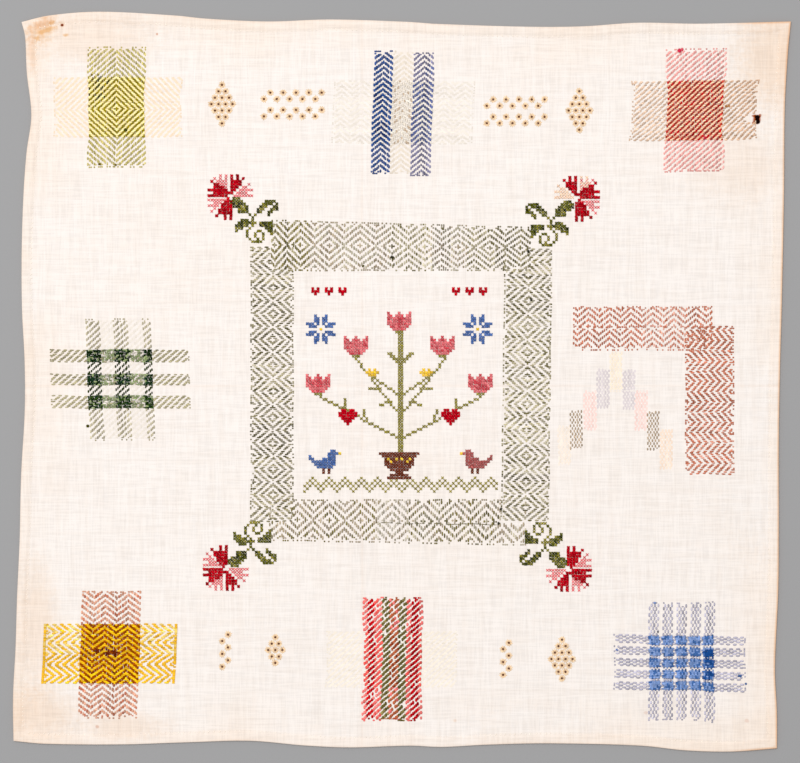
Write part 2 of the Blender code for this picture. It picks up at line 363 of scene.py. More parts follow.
# Eyelets: a real hole in the linen, with spokes of thread pulled round it
eyelet = {
    "hole": 0.33, "holeUneven": (0.72, 1.2), "oval": (1.15, 0.85), "sides": 8,
    "reach": 1.95, "reachUneven": (0.85, 1.1), "ring": 0.60, "spokes": 11, "wide": 0.6, "rise": 0.12,
    "spokeStart": 0.7, "shade": 0.04, "pitch": 3.3, "lozengeWide": 1.1, "zigzagRows": (-1.35, 1.35),
    "ladderLean": 0.9,
    "motifs": (
        # shape, middle x, y, size in eyelets
        ("lozenge", -92.6, 142.7, 4), ("zigzag", -56.2, 142.5, 10),
        ("zigzag", 58.4, 139.0, 10), ("lozenge", 91.1, 139.4, 4),
        ("ladder", -91.0, -138.3, 6), ("lozenge", -65.2, -138.0, 3),
        ("ladder", 53.4, -142.5, 6), ("lozenge", 82.2, -142.6, 4),
    ),
}


def eyeletPlaces():
    places = []
    pitch = eyelet["pitch"]
    for shape, x, y, size in eyelet["motifs"]:
        if shape == "lozenge":
            for row in range(1 - size, size):
                across, wide = size - abs(row), pitch * eyelet["lozengeWide"]
                for step in range(across):
                    places.append((x + (step - (across - 1) / 2) * wide, y + row * pitch))
        elif shape == "zigzag":
            for step in range(size):
                rise = (step % 2 - 0.5) * pitch
                for level in eyelet["zigzagRows"]:
                    places.append((x + (step - (size - 1) / 2) * pitch, y + rise + level * pitch))
        else:
            for step in range(size):
                lean = (step % 2 - 0.5) * pitch * eyelet["ladderLean"]
                places.append((x + lean, y + (step - (size - 1) / 2) * pitch))
    return places


def cutEyelets(piece, places):
    bm = bmesh.new()
    chance = random.Random("holes")
    for x, y in places:
        spot = Matrix.Translation((x * mm, y * mm, 0.5 * mm))
        radius = eyelet["hole"] * chance.uniform(*eyelet["holeUneven"]) * mm
        spot @= Matrix.Diagonal((*eyelet["oval"], 1, 1))
        bmesh.ops.create_cone(
            bm, cap_ends=True, segments=eyelet["sides"], radius1=radius, radius2=radius,
            depth=6 * mm, matrix=spot,
        )
    punches = putInScene("punches", meshFrom(bm, "punches"))
    cut = piece.modifiers.new("holes", "BOOLEAN")
    cut.operation, cut.solver, cut.object = "DIFFERENCE", "MANIFOLD", punches
    graph = bpy.context.evaluated_depsgraph_get()
    made = bpy.data.meshes.new_from_object(piece.evaluated_get(graph))
    piece.modifiers.clear()
    bpy.data.objects.remove(punches, do_unlink=True)
    piece.data = made


def makeLinen(holes):
    across = gridShares(clothWide, cloth["creaseX"])
    upward = gridShares(clothTall, cloth["creaseY"])
    columns, rows = len(across) - 1, len(upward) - 1
    bm = bmesh.new()
    bmesh.ops.create_grid(bm, x_segments=columns, y_segments=rows, size=1)
    for vert in bm.verts:
        u = across[round((vert.co.x + 1) / 2 * columns)]
        v = upward[round((vert.co.y + 1) / 2 * rows)]
        x, y = onCloth(u, v)
        fromSide, fromEnd = min(u, 1 - u) * clothWide, min(v, 1 - v) * clothTall
        inward, along = (fromSide, y) if fromSide < fromEnd else (fromEnd, x)
        vert.co = (x * mm, y * mm, (groundHeight(x, y) + hemHeight(inward, along)) * mm)
    outline = [edge for edge in bm.edges if edge.is_boundary]
    made = bmesh.ops.extrude_edge_only(bm, edges=outline)["geom"]
    for vert in (item for item in made if isinstance(item, bmesh.types.BMVert)):
        vert.co.z = 0
    back = [item for item in made if isinstance(item, bmesh.types.BMEdge)]
    bmesh.ops.contextual_create(bm, geom=back)
    bmesh.ops.recalc_face_normals(bm, faces=bm.faces)
    folded = [edge for edge in outline if edge.is_valid]
    bmesh.ops.bevel(
        bm, geom=folded, offset=cloth["hemRound"] * mm, segments=3, profile=0.5,
        affect="EDGES", material=-1,
    )
    piece = newPiece("linen_ground", meshFrom(bm, "linen_ground"), linenFinish())
    cutEyelets(piece, holes)
    bakeMap = piece.data.uv_layers.new(name="OFBake")
    half = cloth["bakeHalf"]
    for face in piece.data.polygons:
        scale, corner = cloth["bakeFront"] if face.normal.z > -0.5 else cloth["bakeBack"]
        face.use_smooth = True
        for loop in face.loop_indices:
            spot = piece.data.vertices[piece.data.loops[loop].vertex_index].co
            bakeMap.data[loop].uv = [
                corner + scale * (part / mm + half) / (2 * half) for part in (spot.x, spot.y)
            ]
    piece.data.set_sharp_from_angle(angle=math.radians(50))
    # how far in from the edge each point is, for the toning that follows the hem
    inward = piece.data.attributes.new("inward", "FLOAT", "POINT")
    plainX, plainY = cloth["plainHalf"]
    for vert, held in zip(piece.data.vertices, inward.data):
        x, y = vert.co.x / mm, vert.co.y / mm
        held.value = cloth["untoned"]
        if abs(x) >= plainX or abs(y) >= plainY:
            held.value = min(cloth["untoned"], inwardOf(x, y))
    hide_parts("linen_cloth")
    print("linen made:", len(piece.data.polygons), "faces")


# Marks of age on the linen. A strength below nothing is a place that stayed paler
stains = (
    # x, y, reach along, reach across, degrees turned, strength, tone
    (-186.5, 183.5, 13.0, 6.5, 20, 0.55, "toning"),
    (-185.5, 179.8, 10.5, 7.5, 20, 0.42, "tan"),
    (-182.6, 180.7, 7.5, 1.6, 20, 0.55, "tan"),
    (-184.5, 184.8, 9.0, 3.0, 25, 0.5, "scorch"),
    (-180.2, 184.6, 2.4, 1.7, 0, 0.65, "tan"),
    (-174.8, 183.3, 1.0, 0.85, 0, 1.0, "singe"),
    (-174.8, 183.3, 0.6, 0.5, 0, 0.5, "burn"),
    (-174.8, 183.3, 2.2, 1.9, 0, 0.4, "tan"),
    (-173.0, 178.2, 2.2, 1.1, 0, 0.7, "tan"),
    (-187.4, 176.4, 2.2, 2.0, 0, 0.5, "tan"),
    (-188.0, -170.0, 28.0, 18.0, 0, 0.28, "tan"),
    (-190.5, 170.0, 3.0, 14.0, 5, 0.4, "scorch"),
    (-126.0, 178.7, 0.8, 0.8, 0, 0.6, "rust"),
    (-156.8, -177.4, 1.2, 1.1, 0, 0.4, "rust"),
    (27.2, -174.3, 1.2, 1.1, 0, 0.4, "scorch"),
    (125.3, -170.2, 1.2, 1.1, 0, 0.22, "rust"),
    (177.2, -174.3, 1.4, 1.3, 0, 0.22, "rust"),
    (182.6, 136.1, 1.4, 1.1, 0, 1.0, "burn"),
    (182.6, 133.7, 1.5, 1.3, 0, 1.0, "burn"),
    (182.6, 135.0, 1.1, 1.9, 0, 1.0, "burn"),
    (182.4, 134.9, 2.3, 2.8, 0, 1.0, "singe"),
    (180.9, 136.7, 1.4, 0.8, 0, 0.8, "singe"),
    (180.9, 133.0, 1.4, 0.8, 0, 0.8, "singe"),
    (184.0, 137.0, 0.8, 0.9, 0, 0.7, "singe"),
    (-188.0, 168.0, 8.0, 18.0, 0, 0.35, "toning"),
    (166.9, 141.7, 1.1, 1.3, 0, 0.6, "rust"),
    (188.0, -178.0, 24.0, 14.0, 0, 0.25, "toning"),
    (190.0, 166.0, 27.0, 34.0, 0, 0.36, "tan"),
    (175.0, 112.0, 36.0, 26.0, 0, 0.16, "tan"),
    (-160.0, 177.0, 42.0, 20.0, 0, 0.24, "tan"),
    (-188.0, -124.0, 14.0, 44.0, 0, 0.22, "tan"),
    (-143.0, -177.0, 27.0, 10.0, 0, 0.26, "tan"),
    (188.0, -48.0, 27.0, 64.0, 0, -0.40, "toning"),
    (66.0, -178.0, 52.0, 14.0, 0, -0.30, "toning"),
)
tones = {
    # colour that the linen is multiplied by, and how far out the mark holds its full strength
    "toning": ((255, 243, 230), 0.2),
    "scorch": ((246, 214, 184), 0.2),
    "tan": ((240, 204, 160), 0.2),
    "rust": ((206, 128, 70), 0.4),
    "singe": ((172, 84, 24), 0.6),
    "burn": ((30, 8, 2), 0.8),
}


linenLook = {
    # slubs are runs of thicker thread: repeats a metre along and across, limits of the noise, tone
    "slub": {"along": 75, "across": 1150, "limits": (0.34, 0.60), "tone": (0.90, 0.90, 0.90)},
    "broad": {"along": 26, "across": 330, "limits": (0.35, 0.62), "tone": (0.965, 0.950, 0.935)},
    # toning by the edge, over the hem and in clouds, and darkening at the rim: millimetres in, and strength
    "edge": (34.0, 0.42), "hem": (4.4, 6.4, 0.22), "rim": (0.2, 1.5), "cloud": 0.12,
    "darkRim": (0.165, 0.185, 0.75),  # from x to x in metres, and how much darker
    "foldHalf": 0.0011, "foldTone": 0.10, "markEdge": 1.1, "ragged": 520.0,
    "threadX": 0.80, "threadY": 0.71, "bend": 5.0, "bump": (0.22, 0.12),
}


def linenFinish():
    finish = Finish("linen_weave", Roughness=0.92, Specular_IOR_Level=0.05)
    where, x, y = finish.place()
    ground = [*linear("linen"), 1]
    runs = []
    for name, phases, detail in (("slub", (0.0, 3.0), 2.0), ("broad", (7.0, 9.0), 1.0)):
        look = linenLook[name]
        long, short = look["along"], look["across"]
        level = finish.noise(finish.vector(x * long, y * short, phases[0]), 1.0, detail)
        upright = finish.noise(finish.vector(x * short, y * long, phases[1]), 1.0, detail)
        runs.append(finish.share(level * 0.5 + upright * 0.5, *look["limits"]))
    slub, broad = runs
    shaded = finish.blend(slub, [p * q for p, q in zip(ground, (*linenLook["slub"]["tone"], 1))], ground)
    darker = finish.blend(1.0, shaded, [*linenLook["broad"]["tone"], 1], "MULTIPLY")
    shaded = finish.blend(broad, darker, shaded)
    # age: warm toning that is stronger by the edges, and patchy
    patchy = finish.noise(where, 14.0, 3.0)
    inward = finish.node("ShaderNodeAttribute", {"attribute_name": "inward"}, None, 2)
    reach, strength = linenLook["edge"]
    edge = (1.0 - finish.share(inward, 0.0, reach)) * finish.share(patchy, 0.30, 0.66)
    foot, end, hemTone = linenLook["hem"]
    hem = (1.0 - finish.share(inward, foot, end)) * hemTone
    rim = 1.0 - finish.share(inward, *linenLook["rim"])
    cloud = finish.share(finish.noise(where, 7.0, 2.0), 0.45, 0.75) * linenLook["cloud"]
    masks = {"toning": edge * strength + hem + cloud}
    # the outer rim is darker, most of all along the right edge
    fromX, toX, darkRim = linenLook["darkRim"]
    masks["scorch"] = rim * (finish.share(x, fromX, toX) * darkRim + patchy * 0.3)
    ragged = finish.noise(where, linenLook["ragged"], 3.0)
    markEdge = linenLook["markEdge"]
    for spotX, spotY, along, across, turned, strength, name in stains:
        offX, offY = x - spotX * mm, y - spotY * mm
        c, s = math.cos(math.radians(turned)), math.sin(math.radians(turned))
        run, off = (offX * c + offY * s) / (along * mm), (offY * c - offX * s) / (across * mm)
        solid = tones[name][1]
        far = finish.math("SQRT", run * run + off * off) + (ragged - 0.5) * (markEdge - solid)
        mask = (1.0 - finish.share(far, solid, markEdge)) * strength
        masks[name] = masks[name] + mask if name in masks else mask
    # the two old folds
    for offset in (x - cloth["creaseX"] * mm, y - cloth["creaseY"] * mm):
        fold = 1.0 - finish.share(abs(offset), 0.0, linenLook["foldHalf"])
        masks["scorch"] = masks["scorch"] + fold * linenLook["foldTone"]
    for name, mask in masks.items():
        tint = [*linear(tones[name][0]), 1]
        held = finish.math("MINIMUM", mask, 1.0)
        shaded = finish.blend(held, shaded, finish.blend(1.0, shaded, tint, "MULTIPLY"))
    finish.put(finish.shader.inputs["Base Color"], shaded)
    turn = math.tau / mm
    bend = (finish.noise(where, 60.0, 1.0) - 0.5) * linenLook["bend"]
    threadsX = finish.sine(x * (turn / linenLook["threadX"]) + bend)
    threadsY = finish.sine(y * (turn / linenLook["threadY"]) + bend)
    loose = finish.share(finish.noise(where, 260.0, 2.0), 0.35, 0.75)
    strength, depth = linenLook["bump"]
    finish.bump(threadsX * threadsY * loose * 0.6 + slub * 0.8, strength, depth * mm)
    return finish.material


# Thread: one short float of yarn, repeated along every sewn line
yarn = {
    "sides": 5, "endWide": 0.62, "endHigh": 0.42, "twist": 1.1,
    "flatUnder": 0.1,  # threads lower than this have no shaded sides
    "roundTurns": 1.5,  # turns that the strand map holds, so that its seam stays whole
    "strandShift": 0.37, "cellEdge": 0.12,
}


# A rounded float lying along X from 0 to 1, 1 wide and 1 high, flat underneath
def floatShape():
    bm = bmesh.new()
    turned = Matrix.Translation((0.5, 0, 0)) @ Matrix.Rotation(math.radians(90), 4, "Y")
    turned @= Matrix.Rotation(math.radians(180), 4, "Z")
    bmesh.ops.create_cone(
        bm, cap_ends=True, segments=yarn["sides"], radius1=0.5, radius2=0.5, depth=1, matrix=turned
    )
    whole = bm.verts[:] + bm.edges[:] + bm.faces[:]
    bmesh.ops.bisect_plane(bm, geom=whole, plane_co=(0.5, 0, 0), plane_no=(1, 0, 0))
    low = min(vert.co.z for vert in bm.verts)
    high = max(vert.co.z for vert in bm.verts)
    wide = max(vert.co.y for vert in bm.verts)
    for vert in bm.verts:
        vert.co.z = (vert.co.z - low) / (high - low)
        vert.co.y *= 0.5 / wide
    ends = [vert for vert in bm.verts if abs(vert.co.x - 0.5) > 0.4]
    bmesh.ops.scale(bm, verts=ends, vec=(1, yarn["endWide"], yarn["endHigh"]))
    bmesh.ops.recalc_face_normals(bm, faces=bm.faces)
    return bm


def shapeArrays(bm):
    bm.verts.index_update()
    points = np.array([vert.co[:] for vert in bm.verts])
    sizes = np.array([len(face.verts) for face in bm.faces])
    loops, marks = [], []
    for face in bm.faces:
        around = [math.atan2(vert.co.y, vert.co.z - 0.5) / math.tau % 1 for vert in face.verts]
        if max(around) - min(around) > 0.5:
            around = [turn + 1 if turn < 0.45 else turn for turn in around]
        loops += [vert.index for vert in face.verts]
        marks += [(vert.co.x, turn / yarn["roundTurns"]) for vert, turn in zip(face.verts, around)]
    bm.free()
    return points, sizes, np.array(loops), np.array(marks)


class Stitches:
    def __init__(self):
        self.rows = []

    # from one point to another in millimetres, at a height above the linen there
    def add(self, start, end, wide, high, dye, shade=1.0, lift=-0.04):
        (ax, ay), (bx, by) = start, end
        az, bz = groundHeight(ax, ay) + lift, groundHeight(bx, by) + lift
        self.rows.append((ax, ay, az, bx, by, bz, wide, high, *linear(dye, shade)))

    def sew(self, name, material):
        rows = np.array(self.rows)
        points, sizes, loops, marks = shapeArrays(floatShape())
        count = len(rows)
        start, end = rows[:, 0:3] * mm, rows[:, 3:6] * mm
        wide, high, dye = rows[:, 6:7] * mm, rows[:, 7:8] * mm, rows[:, 8:11]
        along = end - start
        length = np.linalg.norm(along, axis=1, keepdims=True)
        side = np.cross((0, 0, 1), along / length)
        placed = start[:, None, :] + points[None, :, 0:1] * along[:, None, :]
        placed = placed + points[None, :, 1:2] * (side * wide)[:, None, :]
        placed[:, :, 2] += points[None, :, 2] * high
        mesh = bpy.data.meshes.new(name)
        mesh.vertices.add(count * len(points))
        mesh.vertices.foreach_set("co", placed.ravel())
        mesh.loops.add(count * len(loops))
        corner = loops[None, :] + (np.arange(count) * len(points))[:, None]
        mesh.loops.foreach_set("vertex_index", corner.ravel().astype(np.int32))
        mesh.polygons.add(count * len(sizes))
        starts = np.concatenate([[0], np.cumsum(np.tile(sizes, count))[:-1]])
        mesh.polygons.foreach_set("loop_start", starts.astype(np.int32))
        mesh.update(calc_edges=True)
        mesh.shade_smooth()
        flat = np.repeat(rows[:, 7] < yarn["flatUnder"], len(sizes))
        mesh.attributes.new("sharp_face", "BOOLEAN", "FACE").data.foreach_set("value", flat)
        # each float has a small cell of its own in the baked picture
        cells = math.ceil(math.sqrt(count))
        cell = np.stack([np.arange(count) % cells, np.arange(count) // cells], axis=1)
        inside = yarn["cellEdge"] + (1 - 2 * yarn["cellEdge"]) * marks
        baked = (cell[:, None, :] + inside[None, :, :]) / cells
        mesh.uv_layers.new(name="OFBake").data.foreach_set("uv", baked.ravel())
        strand = np.repeat(marks[None, :, :], count, axis=0)
        strand[:, :, 0] *= length / (yarn["twist"] * mm)
        strand[:, :, 0] += np.arange(count)[:, None] * yarn["strandShift"]
        mesh.uv_layers.new(name="strand").data.foreach_set("uv", strand.ravel())
        paint = mesh.attributes.new("dye", "FLOAT_COLOR", "POINT")
        colours = np.ones((count, len(points), 4))
        colours[:, :, :3] = dye[:, None, :]
        paint.data.foreach_set("color", colours.ravel())
        newPiece(name, mesh, material)
        print(name, count, "stitches,", int((sizes - 2).sum()) * count, "triangles")


# how far the painted shade darkens deep and pale thread, and how much of it lies in the twist's grooves,
# then the bump
yarnLook = {
    "fade": 900.0, "deepShade": (0.80, 0.78, 0.76), "paleShade": (0.96, 0.95, 0.94), "ply": 0.15,
    "bump": (0.5, 0.05),
}


def yarnFinish(name, roughness):
    finish = Finish(name, Roughness=roughness, Specular_IOR_Level=0.04)
    dye = finish.node("ShaderNodeAttribute", {"attribute_name": "dye"})
    where = finish.place()[0]
    faded = finish.share(finish.noise(where, yarnLook["fade"], 2.0), 0.25, 0.75)
    strand = finish.node("ShaderNodeUVMap", {"uv_map": "strand"})
    split = finish.node("ShaderNodeSeparateXYZ", None, {"Vector": strand})
    run, around = (Value(finish, out) for out in split.socket.node.outputs[:2])
    ply = finish.sine((run + around * yarn["roundTurns"]) * math.tau)
    # painted shade and wear: the dye is darkened in random worn patches and, as painted shade, in the
    # grooves of the twist; pale thread shows less of this darkening than deep thread does
    tone = finish.share(finish.node("ShaderNodeRGBToBW", None, {"Color": dye}), 0.25, 0.75)
    depth = finish.blend(tone, [*yarnLook["deepShade"], 1], [*yarnLook["paleShade"], 1])
    dark = finish.blend(1.0, dye, depth, "MULTIPLY")
    wornAndShaded = finish.blend(faded * 0.7 + (ply * yarnLook["ply"] + yarnLook["ply"]), dark, dye)
    finish.put(finish.shader.inputs["Base Color"], wornAndShaded)
    strength, depth = yarnLook["bump"]
    finish.bump((ply * 0.5 + faded * 0.6) * (1.0 - tone * 0.7), strength, depth * mm)
    return finish.material


# Pattern darning: threads run over two and under two, in lines that turn to make a figure
def folded(index, turn):
    return abs((index + turn) % (2 * turn) - turn) if turn else abs(index)


figures = {
    "twill": lambda i, j, turnI, turnJ: i - j,
    "diamond": lambda i, j, turnI, turnJ: folded(i, turnI) + folded(j, turnJ),
    "peaks": lambda i, j, turnI, turnJ: j + folded(i, turnI),
    "turned": lambda i, j, turnI, turnJ: i + folded(j, turnJ),
    "birdsEye": lambda i, j, turnI, turnJ: j + 2 * (i % 2),
    "birdsEyeLevel": lambda i, j, turnI, turnJ: i + 2 * (j % 2) + 2,
}


def isOver(figure, i, j):
    name, turnI, turnJ, *start = figure
    if start:
        i, j = i - start[0], j - start[1]
    return math.floor(figures[name](i, j, turnI, turnJ)) % 4 < 2


# How uneven the work is, in millimetres, in cells of the weave along a thread, or as shares
uneven = {
    "sway": (0.10, 3.7),  # how far a thread drifts sideways, and how slowly
    # how far and how slowly the whole sample wavers, then a finer wavering
    "waveX": (0.15, 7.0, 0.09, 2.9, 11), "waveY": (0.13, 6.3, 0.09, 3.1, 9),
    "easeHalf": 20, "line": 0.06, "end": 0.09, "slips": (-1, 0, 0, 0, 0, 1),
    "newLength": 0.15, "lengths": 0.03, "tint": 0.04, "tintLong": 4.1, "float": 0.05,
    "high": (0.8, 1.15), "mark": (0.6, 1.2),
}
# The small stitch where a thread turns back, for this share of the threads
turning = {"share": 0.4, "from": 0.1, "to": 0.95, "wide": 0.9, "shade": 0.97}


def waver(sizes, at, phase, other):
    far, slow, fine, quick, drift = sizes
    return far * math.sin(at / slow + phase) + fine * math.sin(at / quick + other / drift)


# One dye out of a mix such as "rose rose crimson", in which "bare" leaves the float out
def oneDye(mix, chance):
    name = chance.choice(mix.split()) if " " in mix else mix
    return None if name == "bare" else name


# One strip of darning. Each thread is a row of floats, and has a drift and a shade of its own
def darnStrip(stitches, sample, strip, chance):
    runs, left, right, low, high, dye, crossDye, wide, more = strip
    pitchX, pitchY = sample["pitch"]
    midX, midY = sample["middle"]
    isUp = runs == "upright"
    figure = more.get("figure", sample["figure"])
    others = [other[1:5] for other in sample["strips"] if other[0] != runs]
    stretch, thick, vary = more["stretch"], more["high"], more["vary"]
    pinch, waist, half = sample.get("pinch", 0), sample.get("waist", 0), uneven["easeHalf"]

    def spot(lateral, run):
        lateral += uneven["sway"][0] * math.sin(run / uneven["sway"][1] + sway)
        x, y = (lateral, run) if isUp else (run, lateral)
        wavyX, wavyY = waver(uneven["waveX"], y, midX, x), waver(uneven["waveY"], x, midY, y)
        x, y = (
            x * (1 - pinch * max(0.0, 1 - (y / half) ** 4)) - sample.get("ease", 0) * x ** 3,
            y * (1 - waist * max(0.0, 1 - (x / half) ** 4)) * (1 + sample.get("taper", 0) * x),
        )
        return (
            midX + x + sample.get("lean", 0) * y + wavyX, midY + y + sample.get("tilt", 0) * x + wavyY,
        )

    def crossed(lateral, run):
        x, y = (lateral, run) if isUp else (run, lateral)
        return any(l <= x <= r and b <= y <= t for l, r, b, t in others)

    # the dye of one float: by stripe, by how far along, flecks, then patches and worn marks
    def dyeAt(lateral, run, both):
        used = crossDye if both else dye
        for stripeTo, stripeDye, stripeCross in more.get("stripes", ()):
            if lateral <= stripeTo:
                used = stripeCross if both else stripeDye
                break
        for runTo, runDye in () if both else more.get("sections", ()):
            if run <= runTo:
                used = runDye
                break
        for share, fleck, where in more.get("flecks", ()):
            if chance.random() < share and where in ("all", "cross" if both else "arm"):
                used = fleck
        x, y = (lateral, run) if isUp else (run, lateral)
        for l, r, b, t, patchDye in sample.get("patches", ()):
            if l <= midX + x <= r and b <= midY + y <= t:
                used = patchDye
        for markX, markY, reach, markDye, markRuns in sample.get("marks", ()):
            near = math.hypot(x - markX, y - markY) < reach * chance.uniform(*uneven["mark"])
            if near and markRuns in (runs, "both"):
                used = markDye
        return oneDye(used, chance)

    pitch, step = (pitchX, pitchY) if isUp else (pitchY, pitchX)
    across, along = ((left, right), (low, high)) if isUp else ((low, high), (left, right))
    first, last = math.ceil(across[0] / pitch - 0.5), math.floor(across[1] / pitch - 0.5)
    begin, end = math.ceil(along[0] / step - 0.5), math.floor(along[1] / step - 0.5)
    length = 1.0
    for thread in range(first, last + 1):
        lateral = (thread + 0.5) * pitch + chance.gauss(0, uneven["line"])
        # a new length of thread is a little paler or deeper than the last
        if chance.random() < uneven["newLength"]:
            length = chance.gauss(1, sample.get("lengths", uneven["lengths"]) * vary)
        tint, sway = length * chance.gauss(1, uneven["tint"] * vary), chance.uniform(0, math.tau)
        slip = chance.choice(uneven["slips"])
        start, startBoth = None, False
        for cell in range(begin + max(0, slip), end + 2 + min(0, slip)):
            i, j = (thread, cell) if isUp else (cell, thread)
            both = crossed(lateral, (cell + 0.5) * step)
            over = isOver(sample["figure"] if both else figure, i, j) == isUp
            over = over and cell <= end + min(0, slip)
            if start is not None and (not over or both != startBoth):
                spare = more.get("crossStretch", stretch) if startBoth else stretch
                near, far = (start - spare) * step, (cell + spare) * step
                used = dyeAt(lateral, (near + far) / 2, startBoth)
                start = None
                x, y = spot(lateral, (near + far) / 2)
                hidden = any(l <= x <= r and b <= y <= t for l, r, b, t in sample.get("skip", ()))
                if used is None or hidden:
                    continue
                fade = math.sin(near / uneven["tintLong"] + sway * 2)
                drawn = tint * (1 + uneven["tint"] * vary * fade)
                spread = wide * (more["crossWide"] if startBoth else 1)
                rise = more.get("crossHigh", thick) if startBoth else thick
                stitches.add(
                    spot(lateral, near + chance.gauss(0, uneven["end"])),
                    spot(lateral, far + chance.gauss(0, uneven["end"])),
                    spread * pitch * chance.uniform(1 - 0.2 * vary, 1 + 0.1 * vary),
                    rise * chance.uniform(*uneven["high"]), used,
                    drawn * chance.gauss(1, uneven["float"] * vary),
                    more["crossLift" if startBoth else "lift"],
                )
            if over and start is None:
                start, startBoth = cell, both
        # where the thread turns back at each end of its run
        for run, out in ((along[0], -1), (along[1], 1)):
            if chance.random() < more.get("turns", sample.get("turns", turning["share"])):
                stitches.add(
                    spot(lateral, run + out * turning["from"]),
                    spot(lateral, run + out * more.get("turnLong", turning["to"])),
                    wide * pitch * turning["wide"], thick, dyeAt(lateral, run, False) or dye,
                    tint * turning["shade"], more["lift"],
                )


def darnSample(stitches, sample):
    chance = random.Random(sample["name"])
    for strip in sample["strips"]:
        darnStrip(stitches, sample, strip, chance)


# How thick the thread lies, and how far each float spreads over its gap, in cells
thin = {"high": 0.27, "lift": -0.04, "stretch": 0.0, "vary": 1.0, "crossWide": 1.0, "crossLift": 0.10}
plump = {**thin, "stretch": 0.10}
full = {**thin, "stretch": 0.22}
pale = {
    **thin, "high": 0.035, "lift": 0.0, "stretch": 0.02, "vary": 0.25, "crossHigh": 0.14,
    "crossWide": 0.75,
}
solid = {**pale, "stretch": 0.35}
diamondSample = {
    "name": "diamond sample", "middle": (-147.2, 139.7), "pitch": (0.82, 0.73),
    "figure": ("diamond", 0, 0), "pinch": 0.06,
    "strips": (
        # runs, left, right, low, high, dye, dye where strips cross, width in threads, more
        ("upright", -14.5, 15.6, -28.8, 31.6, "oliveThread", "oliveDeep", 1.03, plump),
        ("level", -32.9, 35.0, -14.1, 16.6, "fadedYellow", "mustardOlive", 1.30, {
            **pale, "crossHigh": 0.2, "crossWide": 1.0, "crossStretch": 0.35}),
    ),
    "marks": ((-10.5, 12.0, 7.0, "oliveDark oliveDeep inkOlive", "upright"),),
}
blueStripeSample = {
    "name": "blue stripe sample", "middle": (-0.3, 138.5), "pitch": (0.88, 0.70),
    "lean": 0.035, "tilt": -0.007, "figure": ("peaks", 6, 0), "lengths": 0.08,
    "strips": (
        ("upright", -15.2, -5.4, -30.8, 30.9, "navy navy navyDeep", "navyDeep", 1.26, full),
        ("upright", 5.0, 15.8, -31.9, 29.8, "slateViolet", "slateBlue", 1.10, plump),
        ("upright", -5.4, 5.0, -30.8, 30.8, "stonePale", "stoneGrey", 1.25, {
            **pale, "crossStretch": 0.35, "flecks": ((0.20, "fleckBrown", "cross"),)}),
        ("level", -34.5, 36.2, -15.9, 16.3, "ecruPale", "ecru", 1.20, {
            **pale, "crossStretch": 0.35, "crossWide": 0.62}),
    ),
    "marks": (
        # x, y, how far it reaches, dye, which threads
        (-12.6, 6.3, 3.4, "navyInk", "upright"), (-9.0, -9.1, 4.2, "navyInk", "upright"),
        (11.5, -2.0, 5.0, "slateBlue navy", "upright"), (13.6, 22.0, 3.0, "slateBlue", "upright"),
    ),
}
pinkAndBeigeSample = {
    "name": "pink and beige sample", "middle": (150.6, 139.4), "pitch": (0.83, 0.70),
    "lean": 0.027, "tilt": 0.014, "figure": ("twill", 0, 0), "pinch": 0.09, "lengths": 0.06,
    "strips": (
        ("upright", -15.8, 15.6, -30.6, 31.0, "rose", "darkRed darkRed darkRed crimson", 1.12, thin),
        ("level", -34.8, 33.8, -15.3, 15.4, "beigeBrown", "beigeRed", 1.18, {
            **thin, "sections": ((-10.0, "beigeBrown"), (40.0, "beigeDeep"))}),
    ),
    "marks": (
        (31.6, -4.4, 2.6, "bare", "both"), (-3.0, -11.5, 3.6, "crimsonDark darkRed", "upright"),
    ),
}
greenCheckSample = {
    "name": "green check sample", "middle": (-145.0, 1.1), "pitch": (0.84, 0.74),
    "lean": -0.04, "figure": ("twill", 0, 0),
    "strips": tuple(
        ("upright", left, right, -30.5, 30.5, "greenGrey", "forest forest teal", 0.97, {
            **thin, "crossWide": 1.12, "sections": (
                (-15.2, "greenGrey"), (15.2, "greenInner"), (40.0, "greenGrey")),
            "flecks": ((0.14, "greenFleck", "cross"),)})
        for left, right in ((-16.5, -9.6), (-2.3, 5.2), (12.5, 17.0))
    ) + tuple(
        ("level", -34.9, 35.0, low, high, "greenLevel", crossing, 1.04, {
            **plump, "sections": (
                (-16.5, "greenLevel"), (17.0, "greenFine"), (40.0, "greenLevel")),
            "flecks": ((0.24, "greenFleck", "cross"),)})
        for low, high, crossing in (
            (9.0, 15.2, "forest"), (-2.8, 2.9, "teal"), (-15.1, -8.4, "mossGreen"))
    ) + tuple(
        ("upright", left, right, -30.5, 30.5, "ecruPale", "greenFine", 1.0, {**pale, "turns": 0.0})
        for left, right in ((-9.6, -2.3), (5.2, 12.5))
    ),
    # pale upright threads cross the green ones between the dark squares
    "patches": tuple(
        (left - 145.0, left - 138.1, low + 1.1, high + 1.1,
         "greenFine greenFine greenFleck greenFleck greenLevel ecruPale")
        for left in (-9.4, 5.4) for low, high in ((9.0, 15.2), (-2.8, 2.9), (-15.1, -8.4))
    ),
}
cornerSampleAcross = {
    "name": "corner sample across", "middle": (95.1, 28.1), "pitch": (0.92, 0.78),
    "figure": ("peaks", 6, 0), "turns": 0.35,
    "strips": tuple(
        ("upright", -7.5, 64.6, low, high, "redBrown", "cornerRed", 0.92, {
            **thin, "stripes": (
                (29.0, "redBrown", "cornerRed"),
                (52.0, "redBrown redBrownPale redBrownPale", "cornerRed"),
                (66.0, "redBrown", "cornerRed"))})
        for low, high in ((0.3, 9.8), (-11.2, -0.5))
    ),
    "patches": ((146.9, 160.2, 16.8, 28.6, "bare redBrownPale redBrown"),),
}
